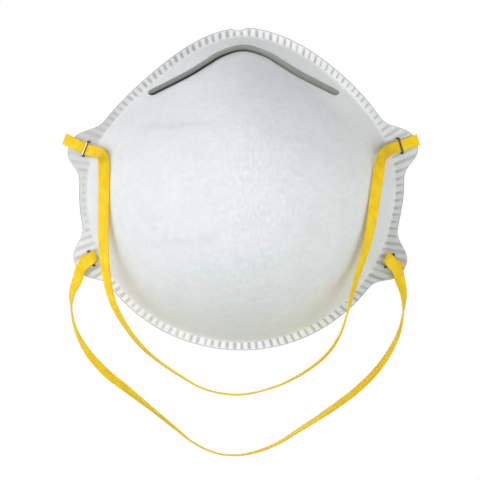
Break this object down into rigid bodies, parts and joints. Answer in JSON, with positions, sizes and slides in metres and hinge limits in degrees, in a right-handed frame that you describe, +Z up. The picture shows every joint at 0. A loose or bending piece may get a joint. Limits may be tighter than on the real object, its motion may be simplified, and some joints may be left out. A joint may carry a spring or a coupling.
{
  "type": "disposable dust mask",
  "caption": "Moulded cup dust mask with a ribbed welded rim, nose clip, inner nose foam and two elastic head straps stapled to four ears.",
  "frame": {"origin": "centre of the face opening, level with the nose and chin edges of the rim", "axes": "+Z up as worn, +X to the right seen from the front, +Y back towards the face; the cup bulges along -Y"},
  "size_m": [0.1482, 0.0607, 0.1761],
  "materials": {
    "cover_nonwoven": "soft matt nonwoven, embossed at the rim",
    "filter_nonwoven": "fine fibre mat",
    "shell_nonwoven": "stiff moulded nonwoven",
    "clip_aluminium": "satin lacquer",
    "nose_foam": "open cell foam",
    "staple_steel": "drawn wire",
    "strap_elastic": "smooth flat elastic"
  },
  "bodies": {
    "mask": {"outer_cover": "cover_nonwoven", "filter_layer": "filter_nonwoven", "support_shell": "shell_nonwoven", "nose_clip": "clip_aluminium", "nose_foam": "nose_foam", "staple_upper_left": "staple_steel", "staple_upper_right": "staple_steel", "staple_lower_left": "staple_steel", "staple_lower_right": "staple_steel", "upper_strap_end_left": "strap_elastic", "upper_strap_end_right": "strap_elastic", "lower_strap_end_left": "strap_elastic", "lower_strap_end_right": "strap_elastic"},
    "upper_strap": {"upper_strap": "strap_elastic"},
    "lower_strap": {"lower_strap": "strap_elastic"}
  },
  "joints": [
    {"name": "upper_strap_swing", "type": "hinge", "parent": "mask", "child": "upper_strap", "pos_m": [0, -0.0056, 0.0117], "axis": [-1, 0, 0], "range_deg": [0, 150]},
    {"name": "lower_strap_swing", "type": "hinge", "parent": "mask", "child": "lower_strap", "pos_m": [0, 0.0089, -0.0383], "axis": [-1, 0, 0], "range_deg": [-120, 120]}
  ]
}
